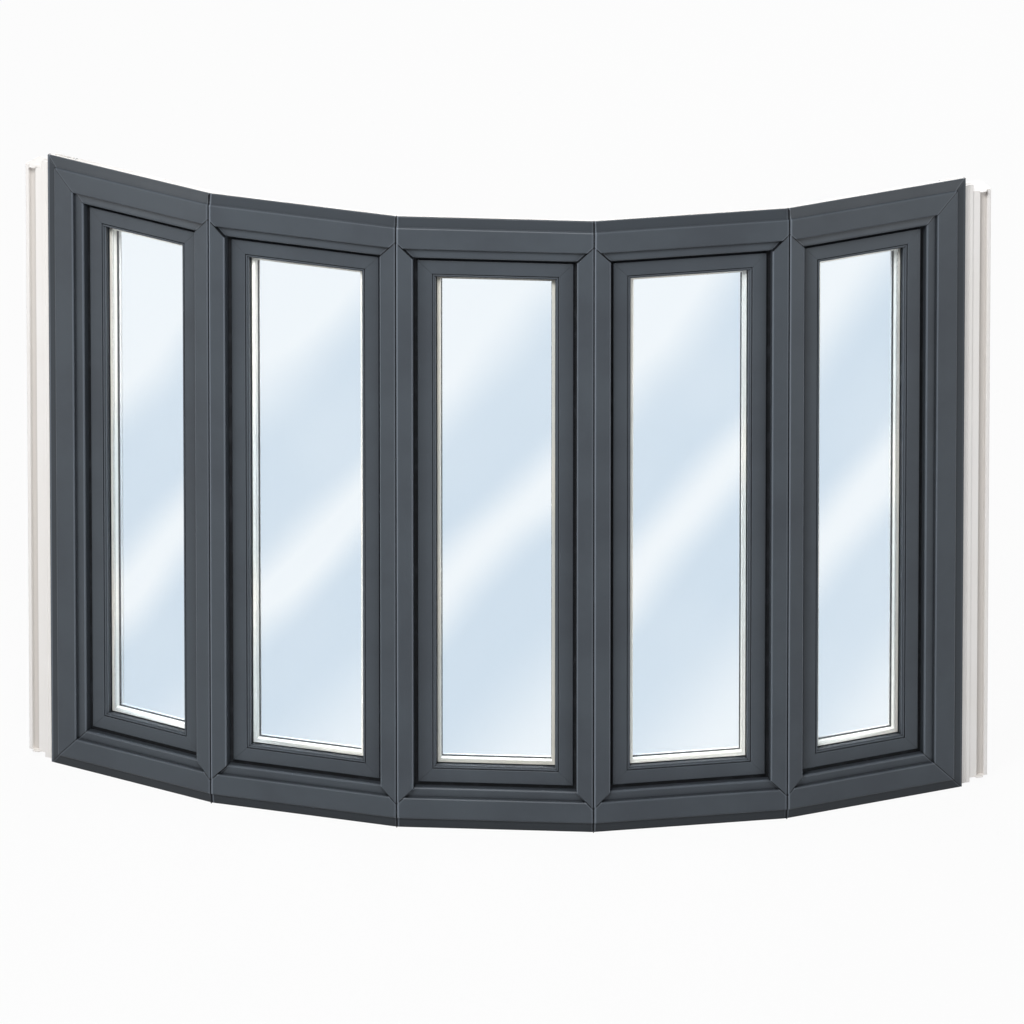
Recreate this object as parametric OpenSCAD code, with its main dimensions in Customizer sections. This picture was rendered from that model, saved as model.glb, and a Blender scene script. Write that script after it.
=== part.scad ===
// Bow window: five equal lights set on a shallow arc, each a fixed frame with a glazed sash.
// X runs along the wall, -Y is the outside and Z is up.
// The origin is the bottom centre of the window's outline.

/* [Bow] */
// Width of one light across its outside face
light_w = 400; // [360:10:700]
// Height of the window
window_h = 1320; // [700:10:2200]
// Turn from one light to the next, in degrees
bow_angle = 15; // [8:0.5:16]

/* [Frame] */
// Depth of the frame from its outside face to its room face
frame_depth = 80; // [78:1:100]
// Sight width of the head, the sill and the end jambs
frame_sight = 88; // [84:1:110]
// Sight width of one half of a mullion
mullion_sight = 35; // [34:1:48]
// Width of the flange that laps over the wall round the outer edge
flange_w = 21; // [16:1:24]
// Width of the inner moulding next to the sash
moulding_w = 21; // [16:1:28]
// How far the inner moulding is set back from the main face
moulding_back = 6.5; // [5:0.5:9]
// Width of the rubber joint between two lights
joint_w = 1.6; // [1:0.1:3]

/* [Sash] */
// How far the sash face is set back from the main face of the frame
sash_back = 19; // [17:0.5:24]
// Visible width of the flat sash face
sash_sight = 37; // [34:1:50]
// Depth of the sash
sash_depth = 70; // [66:1:80]

/* [Glazing] */
// Thickness of one pane
pane_t = 4; // [3:0.5:6]
// Gap between the two panes
pane_gap = 14; // [12:1:20]

/* [Wall posts] */
// Width of the wall post beside each end jamb
post_w = 63; // [60:1:80]
// How far the top of the wall post stops below the top of the frame
post_top_drop = 20; // [5:1:60]
// How far the foot of the wall post stops above the bottom of the frame
post_foot_rise = 3; // [1:1:20]

/* [Hidden] */
lights = [-2, -1, 0, 1, 2];
arc_steps = 4;
half_w = light_w / 2;
half_turn = bow_angle / 2;

// Rounds and set-backs of the frame section
face_round = 4;
joint_round = 2;
moulding_round = 5;
moulding_fall = 2;
flange_back = [8.5, 4.5];
flange_rear = 18;
flange_step = 24;
nose_back = 24;
rebate_w = 12;

// Sash section: distances inward from the frame's inner edge, and back from the main face
seal_gap = 3;
sash_edge = -8;
reveal_gap = 8;
reveal_floor = sash_back + 12;
lap_edge = -16;
lap_back = frame_depth + seal_gap;
sash_room = sash_back + sash_depth;
lip_line_w = 1.5;
lip_w = 7.5;
lip_step_at = 4.5;
lip_back = sash_back + 14;
sight_line = sash_sight + lip_w;
glazing_seal_t = 2;
pane_back = lip_back + glazing_seal_t;
inner_pane_back = pane_back + pane_t + pane_gap;
bead_back = inner_pane_back + pane_t + glazing_seal_t;
pane_edge = sight_line - 12;
rebate_floor = pane_edge - 4;
seal_show = 1.5;
bead_show = 9.5;
bead_flat = 7;
bead_line = 1.2;
bead_foot = 3.5;
bead_foot_back = sash_room - 5.5;
spacer_edge = pane_edge + 4;
spacer_w = 16.5;

// Wall post section: distances outward from the end jamb, and back from the main face
post_front = flange_rear;
post_back = 70;
post_wall = 3.5;
post_strip_w = 22;
post_strip_d = 2;
post_face_w = 39;
post_channel_w = 16;
post_channel_d = 9;
post_head_notch = 18;
post_foot_notch = 11;
post_line_at = 12;
post_line_w = 1.5;
post_line_d = 1;
cap_t = 2.5;
cap_tongue = [33, 52];
cap_reach = 7;

// Reach of the mitre wedges past a corner, outward and inward
mitre_out = 24;
mitre_in = 66;

graphite = "#51565d";
white_pvc = "#eeebe7";
spacer_grey = "#c9c9c1";
rubber_black = "#1b1d1f";
glass_blue = [0.84, 0.91, 0.96, 0.45];

// Middle of light i on its outside face, seen from above
function light_x(i) =
    i == 0 ? 0
           : sign(i) * (half_w + half_w * cos(i * bow_angle)
                        + (abs(i) > 1 ? light_w * cos(bow_angle) : 0));
function light_y(i) =
    i == 0 ? 0
           : half_w * sin(abs(i) * bow_angle) + (abs(i) > 1 ? light_w * sin(bow_angle) : 0);

// Depth of the whole window, from the middle light to the back of the wall posts
end_turn = 2 * bow_angle;
whole_depth = light_y(2) + (half_w + post_w) * sin(end_turn) + post_back * cos(end_turn);

// Points of the round of radius r at corner b, between its neighbours a and c
function round_corner(a, b, c, r) =
    let (u = (a - b) / norm(a - b),
         v = (c - b) / norm(c - b),
         half = acos(u * v) / 2,
         centre = b + (u + v) / norm(u + v) * r / sin(half),
         p = b + u * r / tan(half) - centre,
         q = b + v * r / tan(half) - centre,
         turn = 180 - 2 * half)
    [for (k = [0:arc_steps])
        centre + (p * sin(turn * (1 - k / arc_steps)) + q * sin(turn * k / arc_steps)) / sin(turn)];

// A closed outline from points [x, y, radius], with every corner rounded by its radius
function outline(pts) =
    let (n = len(pts))
    [for (k = [0:n - 1])
        let (a = pts[(k + n - 1) % n], b = pts[k], c = pts[(k + 1) % n])
        each (b[2] > 0 ? round_corner([a[0], a[1]], [b[0], b[1]], [c[0], c[1]], b[2])
                       : [[b[0], b[1]]])];

function swapped(pts) = [for (p = pts) [p[1], p[0]]];

// Front of the head, the sill and the end jambs as [inward, back, radius], from flange to rebate
frame_front = [
    [0, flange_back[0], 2],
    [flange_w, flange_back[1], 0],
    [flange_w, 0, face_round],
    [frame_sight - moulding_w, 0, face_round],
    [frame_sight - moulding_w, moulding_back + moulding_fall, 0],
    [frame_sight, moulding_back, moulding_round],
    [frame_sight, nose_back, 1],
    [frame_sight - rebate_w, nose_back, 0],
    [frame_sight - rebate_w, frame_depth, 2]
];

// The head and the end jambs stand back behind the flange; the sill runs down to its foot
flanged_section = concat(frame_front, [
    [flange_step, frame_depth, 2],
    [flange_step, flange_rear, 0],
    [0, flange_rear, 1]
]);
sill_section = concat(frame_front, [[0, frame_depth, 2]]);

// Section of one half of a mullion, from the joint to the sash
mullion_section = [
    [-1, 0, 0],
    [mullion_sight, 0, face_round],
    [mullion_sight, nose_back, 1],
    [mullion_sight - rebate_w, nose_back, 0],
    [mullion_sight - rebate_w, frame_depth, 2],
    [-1, frame_depth, 0]
];

// Section of a sash member, with a gap round it and a stepped lip beside its face
sash_section = [
    [sash_edge, reveal_floor, 0],
    [reveal_gap, reveal_floor, 0],
    [reveal_gap, sash_back, 1.8],
    [sash_sight, sash_back, 1.4],
    [sash_sight, sash_back + 3.5, 0],
    [sash_sight + lip_line_w, sash_back + 3.5, 0],
    [sash_sight + lip_line_w, sash_back + 1, 0.6],
    [sash_sight + lip_step_at, sash_back + 1, 0.8],
    [sash_sight + lip_step_at, sash_back + 3.5, 0],
    [sight_line, sash_back + 3.5, 2],
    [sight_line, lip_back, 0],
    [rebate_floor, lip_back, 0],
    [rebate_floor, bead_foot_back - 0.5, 0],
    [rebate_floor - bead_foot - 0.5, bead_foot_back - 0.5, 0],
    [rebate_floor - bead_foot - 0.5, sash_room, 1],
    [lap_edge, sash_room, 3],
    [lap_edge, lap_back, 1],
    [sash_edge, lap_back, 0]
];

// Section of a glazing bead on the room side
bead_section = [
    [rebate_floor, bead_back, 0],
    [sight_line + bead_show, bead_back, 0.8],
    [sight_line + bead_show, bead_back + bead_flat / 2, 0],
    [sight_line + bead_show - bead_line, bead_back + bead_flat / 2, 0],
    [sight_line + bead_show - bead_line, bead_back + bead_flat / 2 + bead_line, 0],
    [sight_line + bead_show, bead_back + bead_flat / 2 + bead_line, 0],
    [sight_line + bead_show, bead_back + bead_flat, 1.2],
    [sight_line - 4, sash_room, 3],
    [rebate_floor - bead_foot, sash_room, 0.8],
    [rebate_floor - bead_foot, bead_foot_back, 0],
    [rebate_floor, bead_foot_back, 0]
];

spacer_section = [
    [spacer_edge, pane_back + pane_t, 0],
    [spacer_edge + spacer_w, pane_back + pane_t, 0],
    [spacer_edge + spacer_w, inner_pane_back, 0],
    [spacer_edge, inner_pane_back, 0]
];

// Seal under the lip of the sash, showing as a narrow rim
outer_seal_section = [
    [pane_edge + 4, lip_back, 0],
    [sight_line + seal_show, lip_back, 0.5],
    [sight_line + seal_show, pane_back, 0],
    [pane_edge + 4, pane_back, 0]
];

inner_seal_section = [
    [rebate_floor + 2, bead_back - glazing_seal_t, 0],
    [sight_line + bead_show + 1, bead_back - glazing_seal_t, 0],
    [sight_line + bead_show + 1, bead_back - 0.8, 0],
    [sight_line + bead_show - 1, bead_back, 0],
    [rebate_floor + 2, bead_back, 0]
];

// Seals between frame and sash, behind the frame's nose and under the lap of the sash
nose_seal_section = [
    [-6, nose_back, 0],
    [-0.5, nose_back, 0],
    [0.5, nose_back + 2, 0],
    [reveal_gap, nose_back + 2, 0],
    [reveal_gap, reveal_floor, 0],
    [-6, reveal_floor, 0]
];
lap_seal_section = [
    [lap_edge + 0.5, frame_depth, 0],
    [-rebate_w - 0.5, frame_depth, 0],
    [-rebate_w - 0.5, lap_back, 0],
    [lap_edge + 0.5, lap_back, 0]
];

// Section of a wall post as [outward, back, radius], channelled on its outside face
post_section = [
    [-flange_step, post_front, 0],
    [post_strip_w, post_front, 1],
    [post_strip_w, post_front + post_strip_d, 0],
    [post_face_w, post_front + post_strip_d, 1.5],
    [post_face_w, post_front + post_channel_d, 5],
    [post_face_w + post_channel_w, post_front + post_channel_d, 5],
    [post_face_w + post_channel_w, post_front + post_strip_d, 1],
    [post_w, post_front + post_strip_d, 1.5],
    [post_w, post_back, 0],
    [-flange_step, post_back, 0]
];

// Outline of an end cap of the channelled part, with a round-ended tongue at the front
cap_outline = [
    [post_strip_w, post_front + post_strip_d, 0],
    [cap_tongue[0], post_front + post_strip_d, 0],
    [cap_tongue[0] + 3, post_front - cap_reach, 4],
    [cap_tongue[1] - 3, post_front - cap_reach, 4],
    [cap_tongue[1], post_front + post_strip_d, 0],
    [post_w, post_front + post_strip_d, 0],
    [post_w, post_back, 0],
    [post_strip_w, post_back, 0]
];

// Sight widths of the frame members at the left and right of light i
function left_sight(i) = i == lights[0] ? frame_sight : mullion_sight;
function right_sight(i) = i == lights[len(lights) - 1] ? frame_sight : mullion_sight;

module on_light(i) {
    translate([light_x(i), light_y(i) - whole_depth / 2, 0])
        rotate([0, 0, i * bow_angle])
            children();
}

// A section [inward, back] run along X as a lower member, with its outer edge at height 0
module lying_bar(section, from_x, to_x) {
    translate([from_x, 0, 0])
        rotate([90, 0, 90])
            linear_extrude(height = to_x - from_x)
                polygon(swapped(outline(section)));
}

// A section [inward, back] run up Z as a left member, with its outer edge at x = 0
module standing_bar(section, from_z, to_z) {
    translate([0, 0, from_z])
        linear_extrude(height = to_z - from_z)
            polygon(outline(section));
}

// A prism through the whole depth of a light over an outline in X and Z
module through_light(pts) {
    translate([0, 2 * frame_depth, 0])
        rotate([90, 0, 0])
            linear_extrude(height = 3 * frame_depth)
                polygon(pts);
}

// A closed ring of one section, mitred at its corners, around the opening of light i
module ring(i, section) {
    x0 = -half_w + left_sight(i);
    x1 = half_w - right_sight(i);
    z0 = frame_sight;
    z1 = window_h - frame_sight;
    lower = [[x0 - mitre_out, z0 - mitre_out], [x1 + mitre_out, z0 - mitre_out],
             [x1 - mitre_in, z0 + mitre_in], [x0 + mitre_in, z0 + mitre_in]];
    left = [[x0 - mitre_out, z0 - mitre_out], [x0 + mitre_in, z0 + mitre_in],
            [x0 + mitre_in, z1 - mitre_in], [x0 - mitre_out, z1 + mitre_out]];
    for (flip = [0, 1]) {
        translate([0, 0, flip * window_h])
            mirror([0, 0, flip])
                intersection() {
                    translate([0, 0, z0]) lying_bar(section, x0 - mitre_out, x1 + mitre_out);
                    through_light(lower);
                }
        translate([flip * (x0 + x1), 0, 0])
            mirror([flip, 0, 0])
                intersection() {
                    translate([x0, 0, 0]) standing_bar(section, z0 - mitre_out, z1 + mitre_out);
                    through_light(left);
                }
    }
}

// Plan of light i between its joint planes, eased where it meets its neighbours
module light_plan(i) {
    back = 1.5 * frame_depth;
    lean = back * tan(half_turn);
    gap = joint_w / 2 / cos(half_turn);
    left_free = i == lights[0];
    right_free = i == lights[len(lights) - 1];
    left = left_free ? -half_w : -half_w + gap;
    right = right_free ? half_w : half_w - gap;
    translate([0, 0, -1])
        linear_extrude(height = window_h + 2)
            polygon(outline([
                [left, 0, left_free ? 0 : joint_round],
                [right, 0, right_free ? 0 : joint_round],
                [right_free ? right : right - lean, back, 0],
                [left_free ? left : left + lean, back, 0]
            ]));
}

// Front outline of the head of light i, mitred against the uprights at its ends
function head_outline(i) =
    let (l = left_sight(i), r = right_sight(i), z = window_h - frame_sight, out = 5)
    [[-half_w - out, window_h + 2 * out], [half_w + out, window_h + 2 * out],
     [half_w + out, z + r + out], [half_w - r - out, z - out],
     [-half_w + l + out, z - out], [-half_w - out, z + l + out]];

// Front outline of an upright on the left of a light, pointed at both ends
function upright_outline(sight) =
    let (z = frame_sight, out = 5)
    [[-half_w - out, z - sight - out], [-half_w + sight + out, z + out],
     [-half_w + sight + out, window_h - z - out], [-half_w - out, window_h - z + sight + out]];

module head_rail(i) {
    color(graphite)
        on_light(i)
            intersection() {
                translate([0, 0, window_h])
                    mirror([0, 0, 1])
                        lying_bar(flanged_section, -half_w, half_w);
                through_light(head_outline(i));
                light_plan(i);
            }
}

// The sill's body stops where the wall posts tuck in behind the flange
module sill_rail(i) {
    color(graphite)
        on_light(i)
            difference() {
                intersection() {
                    lying_bar(sill_section, -half_w, half_w);
                    translate([0, 0, window_h])
                        mirror([0, 0, 1])
                            through_light(head_outline(i));
                    light_plan(i);
                }
                if (abs(i) == lights[4])
                    translate([sign(i) * half_w - flange_step, flange_rear, -1])
                        cube([2 * flange_step, frame_depth, 2 * flange_step]);
            }
}

module end_jamb() {
    color(graphite)
        intersection() {
            translate([-half_w, 0, 0]) standing_bar(flanged_section, 0, window_h);
            through_light(upright_outline(frame_sight));
        }
}

module end_jamb_left() {
    on_light(lights[0]) end_jamb();
}

module end_jamb_right() {
    mirror([1, 0, 0]) end_jamb_left();
}

module half_mullion(i) {
    on_light(i)
        intersection() {
            translate([-half_w, 0, 0]) standing_bar(mullion_section, 0, window_h);
            through_light(upright_outline(mullion_sight));
            light_plan(i);
        }
}

// Two pointed halves, one on light i and one on the light to its right
module mullion(i) {
    color(graphite) {
        half_mullion(i + 1);
        mirror([1, 0, 0]) half_mullion(-i);
    }
}

module sash(i) {
    color(graphite) on_light(i) ring(i, sash_section);
}

module glazing_bead(i) {
    color(white_pvc) on_light(i) ring(i, bead_section);
}

module spacer_bar(i) {
    color(spacer_grey) on_light(i) ring(i, spacer_section);
}

module panes(i) {
    x0 = -half_w + left_sight(i) + pane_edge;
    x1 = half_w - right_sight(i) - pane_edge;
    z0 = frame_sight + pane_edge;
    color(glass_blue)
        on_light(i)
            for (back = [pane_back, inner_pane_back])
                translate([x0, back, z0])
                    cube([x1 - x0, pane_t, window_h - 2 * z0]);
}

module glazing_seals() {
    color(rubber_black)
        for (i = lights)
            on_light(i) {
                ring(i, outer_seal_section);
                ring(i, inner_seal_section);
            }
}

module sash_seals() {
    color(rubber_black)
        for (i = lights)
            on_light(i) {
                ring(i, nose_seal_section);
                ring(i, lap_seal_section);
            }
}

// Strips of rubber in the joint planes between the lights, stepped at the flange
module joint_seals() {
    front = 3;
    body_top = window_h - flange_step - 1;
    color(rubber_black)
        for (i = [lights[0]:lights[3]])
            on_light(i)
                translate([half_w, 0, 0])
                    rotate([0, 0, half_turn])
                        translate([-joint_w / 2, front, 1]) {
                            cube([joint_w, frame_depth - front - 2, body_top - 1]);
                            cube([joint_w, flange_rear - front - 2, window_h - 2]);
                        }
}

// Places a wall post's section beside the left end jamb, with x running outward
module beside_left() {
    on_light(lights[0])
        translate([-half_w, 0, 0])
            mirror([1, 0, 0])
                children();
}

// Hollow white profile beside the left end jamb, tucked in behind its flange
module wall_post_left() {
    chamber_front = post_front + post_channel_d + post_wall;
    chamber_d = post_back - post_wall - chamber_front;
    post_top = window_h - post_top_drop;
    color(white_pvc)
        beside_left()
            difference() {
                standing_bar(post_section, post_foot_rise, post_top);
                // Two chambers
                translate([post_wall - flange_step, chamber_front, 0])
                    cube([flange_step + post_face_w - 2 * post_wall, chamber_d, window_h]);
                translate([post_face_w, chamber_front, 0])
                    cube([post_w - post_wall - post_face_w, chamber_d, window_h]);
                // Fine line along the outside face
                translate([post_line_at, post_front - 1, 0])
                    cube([post_line_w, post_line_d + 1, window_h]);
                // The channelled part stops short at the head and at the foot
                for (z = [post_foot_rise - window_h + post_foot_notch, post_top - post_head_notch])
                    translate([post_strip_w, post_front - 1, z])
                        cube([post_w, post_back, window_h]);
            }
}

module wall_post_right() {
    mirror([1, 0, 0]) wall_post_left();
}

// Thin plates that close the two ends of the channelled part
module post_caps_left() {
    color(white_pvc)
        beside_left()
            for (z = [post_foot_rise + post_foot_notch - cap_t,
                      window_h - post_top_drop - post_head_notch])
                translate([0, 0, z])
                    linear_extrude(height = cap_t)
                        polygon(outline(cap_outline));
}

module post_caps_right() {
    mirror([1, 0, 0]) post_caps_left();
}

head_rail(lights[0]);  // head_rail_1
head_rail(lights[1]);  // head_rail_2
head_rail(lights[2]);  // head_rail_3
head_rail(lights[3]);  // head_rail_4
head_rail(lights[4]);  // head_rail_5
sill_rail(lights[0]);  // sill_rail_1
sill_rail(lights[1]);  // sill_rail_2
sill_rail(lights[2]);  // sill_rail_3
sill_rail(lights[3]);  // sill_rail_4
sill_rail(lights[4]);  // sill_rail_5
end_jamb_left();
end_jamb_right();
mullion(lights[0]);  // mullion_1
mullion(lights[1]);  // mullion_2
mullion(lights[2]);  // mullion_3
mullion(lights[3]);  // mullion_4
sash(lights[0]);  // sash_1
sash(lights[1]);  // sash_2
sash(lights[2]);  // sash_3
sash(lights[3]);  // sash_4
sash(lights[4]);  // sash_5
glazing_bead(lights[0]);  // glazing_bead_1
glazing_bead(lights[1]);  // glazing_bead_2
glazing_bead(lights[2]);  // glazing_bead_3
glazing_bead(lights[3]);  // glazing_bead_4
glazing_bead(lights[4]);  // glazing_bead_5
panes(lights[0]);  // panes_1
panes(lights[1]);  // panes_2
panes(lights[2]);  // panes_3
panes(lights[3]);  // panes_4
panes(lights[4]);  // panes_5
spacer_bar(lights[0]);  // spacer_bar_1
spacer_bar(lights[1]);  // spacer_bar_2
spacer_bar(lights[2]);  // spacer_bar_3
spacer_bar(lights[3]);  // spacer_bar_4
spacer_bar(lights[4]);  // spacer_bar_5
joint_seals();
sash_seals();
glazing_seals();
wall_post_left();
wall_post_right();
post_caps_left();
post_caps_right();
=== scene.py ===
# Bow window: five glazed lights on a shallow arc, dark foil outside and white plastic inside
import math
import bpy
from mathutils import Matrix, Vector


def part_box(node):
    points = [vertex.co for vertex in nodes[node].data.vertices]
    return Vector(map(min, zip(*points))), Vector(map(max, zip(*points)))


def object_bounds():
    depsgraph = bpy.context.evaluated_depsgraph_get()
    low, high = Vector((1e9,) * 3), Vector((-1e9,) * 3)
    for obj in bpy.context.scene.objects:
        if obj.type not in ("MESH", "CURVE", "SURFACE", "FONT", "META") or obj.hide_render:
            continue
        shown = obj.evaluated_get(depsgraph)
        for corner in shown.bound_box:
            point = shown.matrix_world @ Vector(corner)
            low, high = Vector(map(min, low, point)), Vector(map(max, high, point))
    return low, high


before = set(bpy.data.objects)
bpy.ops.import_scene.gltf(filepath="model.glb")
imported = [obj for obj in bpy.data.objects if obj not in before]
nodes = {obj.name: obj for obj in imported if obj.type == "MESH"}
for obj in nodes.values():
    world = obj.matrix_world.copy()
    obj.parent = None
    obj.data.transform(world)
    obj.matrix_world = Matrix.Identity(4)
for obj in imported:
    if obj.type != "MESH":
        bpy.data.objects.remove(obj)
cadLow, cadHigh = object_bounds()
lightCount = 5
farAway = 9.0  # metres, past every edge of the window
print("frame loaded with", len(nodes), "nodes")


def linear(red, green, blue):  # a colour as the eye names it, 0 to 255, for a shader socket
    def step(value):
        share = value / 255
        return share / 12.92 if share <= 0.04045 else ((share + 0.055) / 1.055) ** 2.4
    return (step(red), step(green), step(blue), 1.0)


# Where each light stands, read from the frame

def turnOf(pane):  # a light's turn about Z, from the way its largest face looks
    face = max(pane.data.polygons, key=lambda polygon: polygon.area)
    outward = face.normal if face.normal.y < 0 else -face.normal
    return math.atan2(outward.x, -outward.y)


def alongAndBack(node, turn):  # each vertex of a node, as distance along the light and back from it
    cosine, sine = math.cos(turn), math.sin(turn)
    return [(v.co.x * cosine + v.co.y * sine, v.co.y * cosine - v.co.x * sine)
            for v in node.data.vertices]


def extents(name, turn):  # a node's edges in its light, with how far back it starts and how deep it is
    alongs, backs = zip(*alongAndBack(nodes[name], turn))
    low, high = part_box(name)
    return {"turn": turn, "face": min(backs), "depth": max(backs) - min(backs),
            "left": min(alongs), "right": max(alongs), "foot": low.z, "top": high.z}


def span(spread):
    return spread["right"] - spread["left"]


lightTurns = {index: turnOf(nodes[f"panes_{index}"]) for index in range(1, lightCount + 1)}
print("lights turned by", [round(math.degrees(turn), 1) for turn in lightTurns.values()])


# Small helpers for node trees

def wire(tree, source, target):
    tree.links.new(source, target)


def feed(tree, socket, value):  # a socket takes a link or a plain value
    if isinstance(value, bpy.types.NodeSocket):
        wire(tree, value, socket)
    else:
        socket.default_value = value


def maths(tree, operation, first, second=None, third=None, clamp=False):
    node = tree.nodes.new("ShaderNodeMath")
    node.operation, node.use_clamp = operation, clamp
    for socket, value in zip(node.inputs, (first, second, third)):
        if value is not None:
            feed(tree, socket, value)
    return node.outputs[0]


def plus(tree, first, second, clamp=False):
    return maths(tree, "ADD", first, second, clamp=clamp)


def minus(tree, first, second):
    return maths(tree, "SUBTRACT", first, second)


def times(tree, first, second):
    return maths(tree, "MULTIPLY", first, second)


def least(tree, first, second):
    return maths(tree, "MINIMUM", first, second)


def most(tree, first, second):
    return maths(tree, "MAXIMUM", first, second)


def distance(tree, first, second):
    return maths(tree, "ABSOLUTE", minus(tree, first, second))


def dot(tree, first, second):
    node = tree.nodes.new("ShaderNodeVectorMath")
    node.operation = "DOT_PRODUCT"
    wire(tree, first, node.inputs[0])
    wire(tree, second, node.inputs[1])
    return node.outputs["Value"]


def ramp(tree, value, low, high, start=0.0, end=1.0, soft=True):
    node = tree.nodes.new("ShaderNodeMapRange")
    node.interpolation_type = "SMOOTHSTEP" if soft else "LINEAR"
    for label, number in (("Value", value), ("From Min", low), ("From Max", high),
                          ("To Min", start), ("To Max", end)):
        feed(tree, node.inputs[label], number)
    return node.outputs["Result"]


def mixColour(tree, share, first, second):
    node = tree.nodes.new("ShaderNodeMix")
    node.data_type = "RGBA"
    feed(tree, node.inputs["Factor"], share)
    feed(tree, node.inputs["A"], first)
    feed(tree, node.inputs["B"], second)
    return node.outputs["Result"]


def tint(tree, tone, mask, share, colour):  # a colour laid over a tone, at most by its share
    return mixColour(tree, times(tree, mask, share), tone, colour)


def noise(tree, vector, scale, detail=2.0, roughness=0.5):
    node = tree.nodes.new("ShaderNodeTexNoise")
    wire(tree, vector, node.inputs["Vector"])
    feed(tree, node.inputs["Scale"], scale)
    node.inputs["Detail"].default_value = detail
    node.inputs["Roughness"].default_value = roughness
    return node.outputs["Fac"]


def bump(tree, height, depth, strength, onto=None):
    node = tree.nodes.new("ShaderNodeBump")
    node.inputs["Distance"].default_value = depth
    node.inputs["Strength"].default_value = strength
    wire(tree, height, node.inputs["Height"])
    if onto is not None:
        wire(tree, onto, node.inputs["Normal"])
    return node.outputs["Normal"]


def openAround(tree, reach, samples):  # 1 in the open, less where something stands within reach
    node = tree.nodes.new("ShaderNodeAmbientOcclusion")
    node.samples = samples
    wire(tree, reach, node.inputs["Distance"])
    return node.outputs["AO"]


# Node groups: each is built once and placed in the materials with its own values

edgeInputs = [("Along", "Float", 0.0), ("Up", "Float", 0.0), ("Left", "Float", 0.0), ("Right", "Float", 1.0),
              ("Foot", "Float", 0.0), ("Top", "Float", 1.0)]


def newGroup(name, inputs, outputs):
    group = bpy.data.node_groups.new(name, "ShaderNodeTree")
    for label, kind, value in inputs:
        socket = group.interface.new_socket(label, in_out="INPUT", socket_type="NodeSocket" + kind)
        if value is not None:
            socket.default_value = value
    for label, kind in outputs:
        group.interface.new_socket(label, in_out="OUTPUT", socket_type="NodeSocket" + kind)
    return group, group.nodes.new("NodeGroupInput"), group.nodes.new("NodeGroupOutput")


def place(tree, group, **values):  # puts a group in a tree, its inputs named by the caller
    node = tree.nodes.new("ShaderNodeGroup")
    node.node_tree = group
    for label, value in values.items():
        feed(tree, node.inputs[label], value)
    return node


def edgesOf(spread):
    return {"Left": spread["left"], "Right": spread["right"], "Foot": spread["foot"], "Top": spread["top"]}


def insets(group, start):  # how far a point is in from the left, from the right, and from the nearer end
    left = minus(group, start.outputs["Along"], start.outputs["Left"])
    right = minus(group, start.outputs["Right"], start.outputs["Along"])
    foot = minus(group, start.outputs["Up"], start.outputs["Foot"])
    top = minus(group, start.outputs["Top"], start.outputs["Up"])
    return left, right, least(group, foot, top)


def makeLightPlace():  # object position as distances along a light, back from its face, and up
    group, start, end = newGroup("lightPlace", [("Place", "Vector", None), ("Turn", "Float", 0.0),
                                                ("Face", "Float", 0.0)],
                                 [("Local", "Vector"), ("Along", "Float"), ("Back", "Float"),
                                  ("Up", "Float")])
    turned = group.nodes.new("ShaderNodeVectorRotate")
    turned.rotation_type = "Z_AXIS"
    wire(group, start.outputs["Place"], turned.inputs["Vector"])
    wire(group, times(group, start.outputs["Turn"], -1.0), turned.inputs["Angle"])
    parts = group.nodes.new("ShaderNodeSeparateXYZ")
    wire(group, turned.outputs["Vector"], parts.inputs["Vector"])
    wire(group, turned.outputs["Vector"], end.inputs["Local"])
    wire(group, parts.outputs["X"], end.inputs["Along"])
    wire(group, minus(group, parts.outputs["Y"], start.outputs["Face"]), end.inputs["Back"])
    wire(group, parts.outputs["Z"], end.inputs["Up"])
    return group


foilEdge = {"flange": 0.024, "stripCore": 0.0205, "stripReach": 0.0212}


def makeFoilWrap():  # 1 where the dark foil wraps the profile, 0 on bare plastic, and 1 on its outer strip
    group, start, end = newGroup("foilWrap", [*edgeInputs, ("Back", "Float", 0.0),
                                              ("Flange", "Float", foilEdge["flange"]),
                                              ("Outer Reach", "Float", 0.01),
                                              ("Inner Reach", "Float", 0.026)],
                                 [("Foil", "Float"), ("Strip", "Float")])
    fromLeft, fromRight, fromEnds = insets(group, start)
    edge = least(group, least(group, fromLeft, fromRight), fromEnds)
    strip = ramp(group, edge, foilEdge["stripCore"], foilEdge["stripReach"], 1.0, 0.0)
    inside = maths(group, "GREATER_THAN", edge, start.outputs["Flange"])
    reach = ramp(group, inside, 0.0, 1.0, start.outputs["Outer Reach"], start.outputs["Inner Reach"],
                 soft=False)
    wire(group, strip, end.inputs["Strip"])
    wire(group, maths(group, "LESS_THAN", start.outputs["Back"], reach), end.inputs["Foil"])
    return group


def makeMitreLine():  # the fine weld line across each corner of a welded ring
    group, start, end = newGroup("mitreLine", [*edgeInputs, ("Width", "Float", 0.0005)],
                                 [("Line", "Float"), ("Height", "Float")])
    fromLeft, fromRight, fromEnds = insets(group, start)
    width = start.outputs["Width"]
    off = distance(group, least(group, fromLeft, fromRight), fromEnds)
    line = ramp(group, off, times(group, width, 0.4), width, 1.0, 0.0)
    wire(group, line, end.inputs["Line"])
    wire(group, minus(group, 1.0, line), end.inputs["Height"])
    return group


# In joint, glintOff and the arris limits place painted highlights beside the mitre lines and beside each
# joint, and arrisShine makes one side brighter than the other
joint = {"width": 0.0016, "sight": 0.088, "glintOff": 1.6, "arrisIn": 0.0028, "arrisCore": 0.0011,
         "arrisReach": 0.0019, "arrisShine": {"Left": 1.0, "Right": 0.25}}


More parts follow.
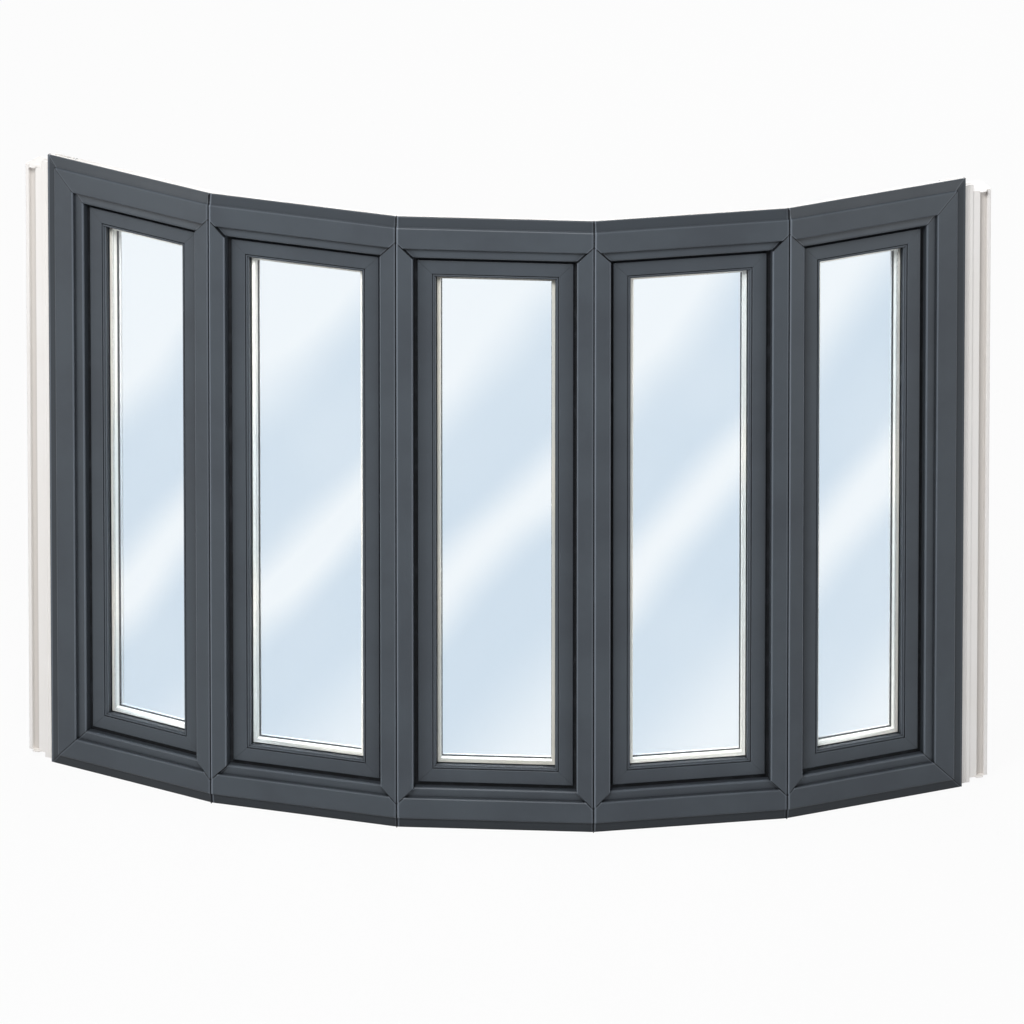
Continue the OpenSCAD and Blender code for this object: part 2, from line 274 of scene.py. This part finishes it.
def makeJointLine():  # the mitres between rails and uprights, with a painted highlight beside each mitre and a painted highlight on the arris beside each joint, brighter on one side
    group, start, end = newGroup("jointLine", [*edgeInputs, ("Rail", "Float", joint["sight"]),
                                               ("Left Sight", "Float", joint["sight"]),
                                               ("Right Sight", "Float", joint["sight"]),
                                               ("Width", "Float", joint["width"])],
                                 [("Line", "Float"), ("Glint", "Float"), ("Arris Highlight", "Float")])
    fromLeft, fromRight, fromEnds = insets(group, start)
    width = start.outputs["Width"]
    lines, glints, arrisHighlights = [], [], []
    for label, inward in (("Left", fromLeft), ("Right", fromRight)):
        sight = start.outputs[f"{label} Sight"]
        lift = minus(group, start.outputs["Rail"], sight)
        past = ramp(group, maths(group, "GREATER_THAN", inward, sight), 0.0, 1.0, 0.0, farAway, soft=False)
        off = plus(group, minus(group, plus(group, inward, lift), fromEnds), past)
        lines.append(ramp(group, maths(group, "ABSOLUTE", off), times(group, width, 0.5), width, 1.0, 0.0))
        glints.append(ramp(group, distance(group, off, times(group, width, joint["glintOff"])),
                           times(group, width, 0.4), width, 1.0, 0.0))
        arrisHighlights.append(ramp(group, distance(group, inward, joint["arrisIn"]), joint["arrisCore"],
                            joint["arrisReach"], joint["arrisShine"][label], 0.0))
    for label, marks in (("Line", lines), ("Glint", glints), ("Arris Highlight", arrisHighlights)):
        wire(group, most(group, *marks), end.inputs[label])
    return group


def makeFineGrain():  # the pressed grain of foil or moulded plastic, with a soft drift of tone
    group, start, end = newGroup("fineGrain", [("Place", "Vector", None), ("Grain Scale", "Float", 1500.0),
                                               ("Drift Scale", "Float", 5.0)],
                                 [("Height", "Float"), ("Drift", "Float")])
    spot, scale = start.outputs["Place"], start.outputs["Grain Scale"]
    small = noise(group, spot, scale, detail=3.0)
    cells = group.nodes.new("ShaderNodeTexVoronoi")
    cells.feature = "DISTANCE_TO_EDGE"
    wire(group, spot, cells.inputs["Vector"])
    wire(group, scale, cells.inputs["Scale"])
    edges = ramp(group, cells.outputs["Distance"], 0.0, 0.25)
    wire(group, maths(group, "MULTIPLY_ADD", edges, 0.5, times(group, small, 0.5)), end.inputs["Height"])
    drift = noise(group, spot, start.outputs["Drift Scale"], detail=4.0, roughness=0.6)
    wire(group, drift, end.inputs["Drift"])
    return group


# In edgeLook, each pair of limits is where a mask starts to change and where it stops
edgeLook = {"samples": 6, "radius": 0.0016, "sharp": (0.995, 0.93), "sharpShine": 0.8,
            "leaning": (0.975, 0.88), "sideways": (0.12, 0.35), "level": (0.1, 0.5), "levelShine": 0.2,
            "open": (0.55, 0.85), "recess": (0.8, 0.42), "fade": (0.97, 0.6)}


def makeEdgeTone():  # painted light: a painted highlight on outside edges, painted shade down in narrow recesses, and a soft painted shade fading into corners
    group, start, end = newGroup("paintedEdgeLightAndShade", [("Outward", "Vector", None), ("Depth", "Float", 0.008),
                                              ("Fade Depth", "Float", 0.03)],
                                 [("Edge Highlight", "Float"), ("Recess", "Float"), ("Fade", "Float")])
    close = openAround(group, start.outputs["Depth"], edgeLook["samples"])
    wide = openAround(group, start.outputs["Fade Depth"], edgeLook["samples"])
    rounded = group.nodes.new("ShaderNodeBevel")
    rounded.samples = edgeLook["samples"]
    rounded.inputs["Radius"].default_value = edgeLook["radius"]
    normal = group.nodes.new("ShaderNodeNewGeometry").outputs["Normal"]
    parts = group.nodes.new("ShaderNodeSeparateXYZ")
    wire(group, normal, parts.inputs["Vector"])
    sharp = ramp(group, dot(group, rounded.outputs["Normal"], normal), *edgeLook["sharp"],
                 0.0, edgeLook["sharpShine"])
    outward = dot(group, start.outputs["Outward"], normal)
    curved = times(group, ramp(group, outward, *edgeLook["leaning"]),
                   ramp(group, outward, *edgeLook["sideways"]))
    level = ramp(group, maths(group, "ABSOLUTE", parts.outputs["Z"]), *edgeLook["level"],
                 1.0, edgeLook["levelShine"])
    curved = times(group, curved, level)
    bare = ramp(group, close, *edgeLook["open"])
    wire(group, times(group, most(group, sharp, curved), bare), end.inputs["Edge Highlight"])
    wire(group, ramp(group, close, *edgeLook["recess"]), end.inputs["Recess"])
    wire(group, ramp(group, wide, *edgeLook["fade"], soft=False), end.inputs["Fade"])
    return group


lightPlace = makeLightPlace()
foilWrap = makeFoilWrap()
mitreLine = makeMitreLine()
jointLine = makeJointLine()
fineGrain = makeFineGrain()
paintedEdgeLightAndShade = makeEdgeTone()
print("node groups ready")


# Materials: roughness is given as the two values that it drifts between

def newMaterial(name):
    material = bpy.data.materials.new(name)
    material.use_nodes = True
    tree = material.node_tree
    spot = tree.nodes.new("ShaderNodeTexCoord").outputs["Object"]
    return material, tree, tree.nodes["Principled BSDF"], spot


def roughen(tree, shader, drift, look):
    wire(tree, ramp(tree, drift, 0.2, 0.8, *look["roughness"]), shader.inputs["Roughness"])


def addWeld(tree, here, ring, look, tone, normal):  # the mitres of a ring, in tone and in relief
    weld = place(tree, mitreLine, Along=here.outputs["Along"], Up=here.outputs["Up"], **edgesOf(ring))
    tone = tint(tree, tone, weld.outputs["Line"], look["weldShare"], look["weld"])
    return tone, bump(tree, weld.outputs["Height"], look["weldDepth"], 0.8, normal)


# In foil, glint is the colour of painted highlights, and shine, glintShare and arrisShare are their
# strengths. The darkest colour serves both the mitre lines and painted shade.
foil = {"colour": linear(70, 76, 82), "shade": linear(64, 69, 75), "strip": linear(47, 52, 57),
        "weld": linear(30, 33, 36), "seamAndShade": linear(20, 22, 25), "glint": linear(116, 123, 132),
        "roughness": (0.31, 0.41), "specular": 0.2, "grain": 0.00006, "weldDepth": 0.0004,
        "stripShare": 0.68, "weldShare": 0.55, "shine": 0.45, "recess": 0.9, "fade": 0.45,
        "mitreShare": 0.95, "glintShare": 0.3, "arrisShare": 0.65}
plastic = {"colour": linear(238, 235, 231), "shade": linear(228, 224, 219), "weld": linear(120, 118, 112),
           "roughness": (0.3, 0.4), "specular": 0.5, "grainScale": 900.0, "grain": 0.00003,
           "weldDepth": 0.0003, "weldShare": 0.5}


def frameMaterial(name, spread, reach, ring=None, sights=None):  # dark foil outside, white plastic behind it
    material, tree, shader, spot = newMaterial(name)
    here = place(tree, lightPlace, Place=spot, Turn=spread["turn"], Face=spread["face"])
    along, up = here.outputs["Along"], here.outputs["Up"]
    wrap = place(tree, foilWrap, Along=along, Back=here.outputs["Back"], Up=up, **edgesOf(spread))
    wrap.inputs["Outer Reach"].default_value, wrap.inputs["Inner Reach"].default_value = reach
    wrapped = wrap.outputs["Foil"]
    grain = place(tree, fineGrain, Place=here.outputs["Local"])
    patches = ramp(tree, grain.outputs["Drift"], 0.35, 0.7)
    darkTone = mixColour(tree, patches, foil["colour"], foil["shade"])
    darkTone = tint(tree, darkTone, wrap.outputs["Strip"], foil["stripShare"], foil["strip"])
    whiteTone = mixColour(tree, patches, plastic["colour"], plastic["shade"])
    tone = mixColour(tree, wrapped, whiteTone, darkTone)
    normal = bump(tree, grain.outputs["Height"], foil["grain"], 0.5)
    if ring is not None:
        tone, normal = addWeld(tree, here, ring, foil, tone, normal)
    # Painted highlight along the outside edges of the foil
    edge = place(tree, paintedEdgeLightAndShade, Outward=(math.sin(spread["turn"]), -math.cos(spread["turn"]), 0))
    tone = tint(tree, tone, times(tree, edge.outputs["Edge Highlight"], wrapped), foil["shine"], foil["glint"])
    # Painted shade in recesses and corners, in the same dark as the mitre lines
    shadows = most(tree, times(tree, edge.outputs["Recess"], foil["recess"]),
                   times(tree, edge.outputs["Fade"], foil["fade"]))
    tone = mixColour(tree, times(tree, shadows, wrapped), tone, foil["seamAndShade"])
    if sights is not None:
        mitre = place(tree, jointLine, Along=along, Up=up, Left=sights["left"], Right=sights["right"],
                      Foot=cadLow.z, Top=cadHigh.z)
        mitre.inputs["Left Sight"].default_value = sights["leftSight"]
        mitre.inputs["Right Sight"].default_value = sights["rightSight"]
        tone = tint(tree, tone, mitre.outputs["Line"], foil["mitreShare"], foil["seamAndShade"])
        # Painted highlights beside each mitre line and on the arris beside each joint
        tone = tint(tree, tone, mitre.outputs["Glint"], foil["glintShare"], foil["glint"])
        arrisHighlight = times(tree, mitre.outputs["Arris Highlight"], wrapped)
        tone = tint(tree, tone, arrisHighlight, foil["arrisShare"], foil["glint"])
    wire(tree, tone, shader.inputs["Base Color"])
    wire(tree, normal, shader.inputs["Normal"])
    roughen(tree, shader, grain.outputs["Drift"], foil)
    shader.inputs["Specular IOR Level"].default_value = foil["specular"]
    return material


def whiteMaterial(name, ring=None):
    material, tree, shader, spot = newMaterial(name)
    grain = place(tree, fineGrain, Place=spot)
    grain.inputs["Grain Scale"].default_value = plastic["grainScale"]
    tone = mixColour(tree, ramp(tree, grain.outputs["Drift"], 0.3, 0.7), plastic["colour"], plastic["shade"])
    normal = bump(tree, grain.outputs["Height"], plastic["grain"], 0.4)
    if ring is not None:
        here = place(tree, lightPlace, Place=spot, Turn=ring["turn"])
        tone, normal = addWeld(tree, here, ring, plastic, tone, normal)
    wire(tree, tone, shader.inputs["Base Color"])
    wire(tree, normal, shader.inputs["Normal"])
    roughen(tree, shader, grain.outputs["Drift"], plastic)
    shader.inputs["Specular IOR Level"].default_value = plastic["specular"]
    return material


# In post, groove is the colour of the painted shade in the channel
post = {"face": linear(233, 230, 227), "channelShade": linear(196, 190, 184), "depth": 0.004, "fall": 0.003,
        "frontDepth": (0.02, 0.018), "grooveShare": 0.9, "roughness": (0.32, 0.42)}


def postMaterial(name, spread):  # white plastic, with a warm painted shade down in its channel
    material, tree, shader, spot = newMaterial(name)
    here = place(tree, lightPlace, Place=spot, Turn=spread["turn"], Face=spread["face"])
    back = here.outputs["Back"]
    grain = place(tree, fineGrain, Place=here.outputs["Local"])
    grain.inputs["Grain Scale"].default_value = plastic["grainScale"]
    drift = grain.outputs["Drift"]
    tone = mixColour(tree, ramp(tree, drift, 0.3, 0.7, 0.0, 0.5), post["face"], plastic["shade"])
    # Painted shade in the channel, deeper than the front face
    shadedChannel = ramp(tree, back, post["depth"], post["depth"] + post["fall"], 0.0, post["grooveShare"])
    front = ramp(tree, back, *post["frontDepth"])
    tone = mixColour(tree, times(tree, shadedChannel, front), tone, post["channelShade"])
    wire(tree, tone, shader.inputs["Base Color"])
    wire(tree, bump(tree, grain.outputs["Height"], plastic["grain"], 0.4), shader.inputs["Normal"])
    roughen(tree, shader, drift, post)
    return material


rubber = {"colour": linear(26, 28, 31), "worn": linear(44, 47, 51), "roughness": (0.54, 0.72),
          "specular": 0.15, "grainScale": 2200.0, "driftScale": 30.0, "grain": 0.00005}


def rubberMaterial():
    material, tree, shader, spot = newMaterial("blackRubber")
    grain = place(tree, fineGrain, Place=spot)
    grain.inputs["Grain Scale"].default_value = rubber["grainScale"]
    grain.inputs["Drift Scale"].default_value = rubber["driftScale"]
    patches = ramp(tree, grain.outputs["Drift"], 0.45, 0.75)
    wire(tree, mixColour(tree, patches, rubber["colour"], rubber["worn"]), shader.inputs["Base Color"])
    wire(tree, bump(tree, grain.outputs["Height"], rubber["grain"], 0.6), shader.inputs["Normal"])
    roughen(tree, shader, grain.outputs["Drift"], rubber)
    shader.inputs["Specular IOR Level"].default_value = rubber["specular"]
    return material


# In spacer, the sealant's limits are shares of the bar's depth, out from its middle
spacer = {"colour": linear(226, 223, 215), "band": linear(200, 197, 186), "sealant": linear(74, 77, 72),
          "sealantFrom": (0.36, 0.4), "sealantTo": (0.45, 0.48), "ribs": 2400.0, "ribDepth": 0.0001,
          "roughness": (0.35, 0.5), "specular": 0.25}


def spacerMaterial(name, spread):  # pale ribbed bar with a dark line of sealant along each pane
    material, tree, shader, spot = newMaterial(name)
    here = place(tree, lightPlace, Place=spot, Turn=spread["turn"], Face=spread["face"])
    depth = spread["depth"]
    out = distance(tree, here.outputs["Back"], depth / 2)
    line = times(tree, ramp(tree, out, *(depth * limit for limit in spacer["sealantFrom"])),
                 ramp(tree, out, *(depth * limit for limit in spacer["sealantTo"]), 1.0, 0.0))
    ribs = maths(tree, "ABSOLUTE", maths(tree, "SINE", times(tree, here.outputs["Back"], spacer["ribs"])))
    drift = place(tree, fineGrain, Place=here.outputs["Local"]).outputs["Drift"]
    tone = mixColour(tree, ramp(tree, drift, 0.3, 0.7, 0.0, 0.3), spacer["colour"], spacer["band"])
    wire(tree, mixColour(tree, line, tone, spacer["sealant"]), shader.inputs["Base Color"])
    wire(tree, bump(tree, ribs, spacer["ribDepth"], 0.5), shader.inputs["Normal"])
    roughen(tree, shader, drift, spacer)
    shader.inputs["Specular IOR Level"].default_value = spacer["specular"]
    return material


# In glass, pale is the colour of the painted reflection, and lift is how far each light's painted reflection
# streak sits above the middle of its pane
glass = {"reflectionPale": linear(248.5, 252, 254.5), "blue": linear(231, 239.7, 247), "slope": 1.15, "streak": 0.15,
         "lift": {1: -0.19, 2: -0.1, 3: -0.055, 4: -0.01, 5: -0.02}, "waver": 0.03, "high": (0.3, 0.52),
         "low": (-0.26, -0.56), "lowShare": 0.75, "reflectionDrift": 0.22, "driftScale": 2.4, "roughness": (0.0, 0.012)}


def makeSlantBands():  # painted reflection: 0 in the blue of a pane, 1 in its slanting streak and towards its top and foot
    group, start, end = newGroup("paintedReflectionBands", [("Along", "Float", 0.0), ("Up", "Float", 0.0),
                                                ("Slope", "Float", 1.0), ("Streak", "Float", 0.1),
                                                ("Rise", "Float", 0.0), ("Drift", "Float", 0.5)],
                                 [("Pale", "Float")])
    slant = minus(group, minus(group, start.outputs["Up"], start.outputs["Rise"]),
                  times(group, start.outputs["Along"], start.outputs["Slope"]))
    slant = plus(group, slant, ramp(group, start.outputs["Drift"], 0.3, 0.7, -glass["waver"], glass["waver"],
                                    soft=False))
    streak = ramp(group, maths(group, "ABSOLUTE", slant), 0.0, start.outputs["Streak"], 1.0, 0.0)
    high = ramp(group, slant, *glass["high"])
    low = ramp(group, slant, *glass["low"], 0.0, glass["lowShare"])
    # a drifting share of painted reflection over the whole pane
    reflectionDrift = ramp(group, start.outputs["Drift"], 0.35, 0.75, 0.0, glass["reflectionDrift"])
    ends = plus(group, most(group, high, low), reflectionDrift)
    wire(group, plus(group, streak, ends, clamp=True), end.inputs["Pale"])
    return group


paintedReflectionBands = makeSlantBands()


def glassMaterial(index, spread):
    material, tree, shader, spot = newMaterial(f"windowGlass{index}")
    here = place(tree, lightPlace, Place=spot, Turn=spread["turn"], Face=spread["face"])
    across = minus(tree, here.outputs["Along"], (spread["left"] + spread["right"]) / 2)
    height = minus(tree, here.outputs["Up"], (spread["foot"] + spread["top"]) / 2)
    drift = noise(tree, here.outputs["Local"], glass["driftScale"], detail=1.5)
    bands = place(tree, paintedReflectionBands, Along=across, Up=height, Slope=glass["slope"], Streak=glass["streak"],
                  Rise=glass["lift"][index], Drift=drift)
    # Pale painted reflection laid over the blue tint of the glass
    tone = mixColour(tree, bands.outputs["Pale"], glass["blue"], glass["reflectionPale"])
    wire(tree, tone, shader.inputs["Base Color"])
    roughen(tree, shader, drift, glass)
    shader.inputs["Transmission Weight"].default_value = 1.0
    shader.inputs["IOR"].default_value = 1.45
    return material


# Shading of the carried-over nodes: eased edges and even normals, as modifiers only

easing = {"weld": 0.00002, "flat": 0.5, "corner": 35, "segments": 2, "even": 60,
          "frame": 0.0009, "sash": 0.0004, "bead": 0.0004, "bar": 0.0003, "post": 0.0008, "cap": 0.0005}


def makeSmoothing():
    group = bpy.data.node_groups.new("smoothFaces", "GeometryNodeTree")
    group.interface.new_socket("Geometry", in_out="INPUT", socket_type="NodeSocketGeometry")
    group.interface.new_socket("Geometry", in_out="OUTPUT", socket_type="NodeSocketGeometry")
    start, end = group.nodes.new("NodeGroupInput"), group.nodes.new("NodeGroupOutput")
    smooth = group.nodes.new("GeometryNodeSetShadeSmooth")
    wire(group, start.outputs[0], smooth.inputs["Geometry"])
    wire(group, smooth.outputs[0], end.inputs[0])
    return group


smoothing = makeSmoothing()


def easeEdges(node, width):
    node.modifiers.new("smooth", "NODES").node_group = smoothing
    node.modifiers.new("weld", "WELD").merge_threshold = easing["weld"]
    flat = node.modifiers.new("flat", "DECIMATE")
    flat.decimate_type, flat.angle_limit = "DISSOLVE", math.radians(easing["flat"])
    if width > 0:
        bevel = node.modifiers.new("edges", "BEVEL")
        bevel.width, bevel.segments = width, easing["segments"]
        bevel.limit_method, bevel.angle_limit = "ANGLE", math.radians(easing["corner"])
        bevel.use_clamp_overlap = True
    even = node.modifiers.new("even", "WEIGHTED_NORMAL")
    even.weight, even.keep_sharp = easing["even"], False


def dress(name, material, width=0.0):
    node = nodes[name]
    node.data.materials.clear()
    node.data.materials.append(material)
    easeEdges(node, width)


# How far back the foil wraps the outer edge of each profile, and its inner side
foilReach = {"rail": (0.0125, 0.0262), "sash": (0.0455, 0.0455), "mullion": (0.03, 0.03)}
halfMullion = 0.035
paneSpreads = {index: extents(f"panes_{index}", turn) for index, turn in lightTurns.items()}
jambSight = span(extents("end_jamb_left", lightTurns[1]))
glassInset = (span(extents("head_rail_3", lightTurns[3])) - span(paneSpreads[3])) / 2
sideless = {"left": -farAway, "right": farAway}
edgeless = {**sideless, "foot": -farAway, "top": farAway}


def sightsOf(index):  # the edges of a light, and the sight widths of its two uprights
    spread = paneSpreads[index]
    leftSight = jambSight if index == 1 else halfMullion
    rightSight = jambSight if index == lightCount else halfMullion
    return {"left": spread["left"] - glassInset + halfMullion - leftSight,
            "right": spread["right"] + glassInset - halfMullion + rightSight,
            "leftSight": leftSight, "rightSight": rightSight}


def dressLight(index, turn):
    rail = extents(f"head_rail_{index}", turn)
    spread = {"turn": turn, "face": rail["face"], "foot": cadLow.z, "top": cadHigh.z, **sideless}
    dressed = [f"head_rail_{index}", f"sill_rail_{index}"]
    if index == 1:
        spread["left"] = rail["left"]
        dressed.append("end_jamb_left")
    if index == lightCount:
        spread["right"] = rail["right"]
        dressed.append("end_jamb_right")
    railFoil = frameMaterial(f"railFoil{index}", spread, foilReach["rail"], sights=sightsOf(index))
    for name in dressed:
        dress(name, railFoil, easing["frame"])
    ring = extents(f"sash_{index}", turn)
    sashFoil = frameMaterial(f"sashFoil{index}", {**spread, **edgeless}, foilReach["sash"], ring)
    dress(f"sash_{index}", sashFoil, easing["sash"])
    beadPlastic = whiteMaterial(f"beadPlastic{index}", extents(f"glazing_bead_{index}", turn))
    dress(f"glazing_bead_{index}", beadPlastic, easing["bead"])
    spacerBar = spacerMaterial(f"spacerBar{index}", extents(f"spacer_bar_{index}", turn))
    dress(f"spacer_bar_{index}", spacerBar, easing["bar"])
    dress(f"panes_{index}", glassMaterial(index, paneSpreads[index]))
    nodes[f"panes_{index}"].visible_shadow = False


def dressMullion(index):  # the two half mullions at a joint, turned midway between their lights
    spread = extents(f"mullion_{index}", (lightTurns[index] + lightTurns[index + 1]) / 2)
    centre = (spread["left"] + spread["right"]) / 2
    sights = {"left": centre, "right": centre, "leftSight": halfMullion, "rightSight": halfMullion}
    mullionFoil = frameMaterial(f"mullionFoil{index}", {**spread, **edgeless}, foilReach["mullion"],
                                sights=sights)
    dress(f"mullion_{index}", mullionFoil, easing["frame"])


black = rubberMaterial()
for index, turn in lightTurns.items():
    dressLight(index, turn)
for index in range(1, lightCount):
    dressMullion(index)
for name in ("joint_seals", "sash_seals", "glazing_seals"):
    dress(name, black)
for name, index in (("wall_post_left", 1), ("wall_post_right", lightCount)):
    postPlastic = postMaterial(f"postPlastic{index}", extents(name, lightTurns[index]))
    dress(name, postPlastic, easing["post"])
capPlastic = whiteMaterial("capPlastic")
for name in ("post_caps_left", "post_caps_right"):
    dress(name, capPlastic, easing["cap"])
print("materials placed")


# Floor, sky, lamps and camera

def seenRays(tree):  # 1 for rays that see a surface: straight on, mirrored or through glass
    rays = tree.nodes.new("ShaderNodeLightPath")
    return most(tree, rays.outputs["Is Camera Ray"],
                most(tree, rays.outputs["Is Glossy Ray"], rays.outputs["Is Transmission Ray"]))


def blendShaders(tree, share, first, second, target):
    blend = tree.nodes.new("ShaderNodeMixShader")
    wire(tree, share, blend.inputs["Fac"])
    wire(tree, first.outputs[0], blend.inputs[1])
    wire(tree, second.outputs[0], blend.inputs[2])
    wire(tree, blend.outputs[0], target.inputs["Surface"])


ground = {"size": 80, "colour": (0.5, 0.5, 0.5, 1), "roughness": 0.9, "white": (1, 1, 1, 1), "share": 0.95}


def makeFloor():  # white where it is seen, but for the shadow, and grey where it lights
    size = ground["size"]
    mesh = bpy.data.meshes.new("floor")
    corners = [(-size, -size, 0), (size, -size, 0), (size, size, 0), (-size, size, 0)]
    mesh.from_pydata(corners, [], [(0, 1, 2, 3)])
    floor = bpy.data.objects.new("floor", mesh)
    bpy.context.scene.collection.objects.link(floor)
    floor.location.z = cadLow.z
    material, tree, shader, _ = newMaterial("paleFloor")
    shader.inputs["Base Color"].default_value = ground["colour"]
    shader.inputs["Roughness"].default_value = ground["roughness"]
    shader.inputs["Specular IOR Level"].default_value = 0.0
    glow = tree.nodes.new("ShaderNodeEmission")
    glow.inputs["Color"].default_value = ground["white"]
    blendShaders(tree, times(tree, seenRays(tree), ground["share"]), shader, glow,
                 tree.nodes["Material Output"])
    mesh.materials.append(material)


sky = {"light": (0.9, 0.94, 1.0, 1), "strength": 0.22, "white": (1, 1, 1, 1)}


def makeSky():  # white where it is seen, and dim where it lights
    world = bpy.data.worlds.new("studio")
    bpy.context.scene.world = world
    world.use_nodes = True
    tree = world.node_tree
    light = tree.nodes["Background"]
    light.inputs["Color"].default_value = sky["light"]
    light.inputs["Strength"].default_value = sky["strength"]
    white = tree.nodes.new("ShaderNodeBackground")
    white.inputs["Color"].default_value = sky["white"]
    blendShaders(tree, seenRays(tree), light, white, tree.nodes["World Output"])


lamps = [
    {"name": "key", "place": (-0.7, -3.6, 4.6), "size": 1.8, "power": 244},
    {"name": "left", "place": (-4.4, -2.6, 0.9), "size": 1.6, "power": 54},
    {"name": "right", "place": (4.4, -2.4, 1.0), "size": 2.0, "power": 50},
    {"name": "room", "place": (0.4, 5.0, 3.5), "size": 3.5, "power": 150},
]


def makeLamp(settings, aim):
    lamp = bpy.data.lights.new(settings["name"], "AREA")
    lamp.energy, lamp.size = settings["power"], settings["size"]
    holder = bpy.data.objects.new(settings["name"], lamp)
    holder.location = settings["place"]
    holder.rotation_euler = (aim - holder.location).to_track_quat("-Z", "Y").to_euler()
    bpy.context.scene.collection.objects.link(holder)


camera = {"distance": 55.0, "turn": 4.2, "tilt": 21.28, "lens": 956.5, "sensor": 36, "clip": 200,
          "aimRight": 0.0201, "aimDown": 0.0432}


def makeCamera(middle):
    data = bpy.data.cameras.new("camera")
    data.lens, data.sensor_width, data.clip_end = camera["lens"], camera["sensor"], camera["clip"]
    holder = bpy.data.objects.new("camera", data)
    turn, tilt = math.radians(camera["turn"]), math.radians(camera["tilt"])
    ahead = Vector((-math.sin(turn) * math.cos(tilt), math.cos(turn) * math.cos(tilt), -math.sin(tilt)))
    aim = middle + Vector((camera["aimRight"], 0, -camera["aimDown"]))
    holder.location = aim - ahead * camera["distance"]
    holder.rotation_euler = ahead.to_track_quat("-Z", "Y").to_euler()
    bpy.context.scene.collection.objects.link(holder)
    bpy.context.scene.camera = holder


middle = (cadLow + cadHigh) / 2
makeFloor()
makeSky()
for settings in lamps:
    makeLamp(settings, middle)
makeCamera(middle)
bpy.context.scene.view_settings.view_transform = "Standard"
print("stage, lamps and camera ready")
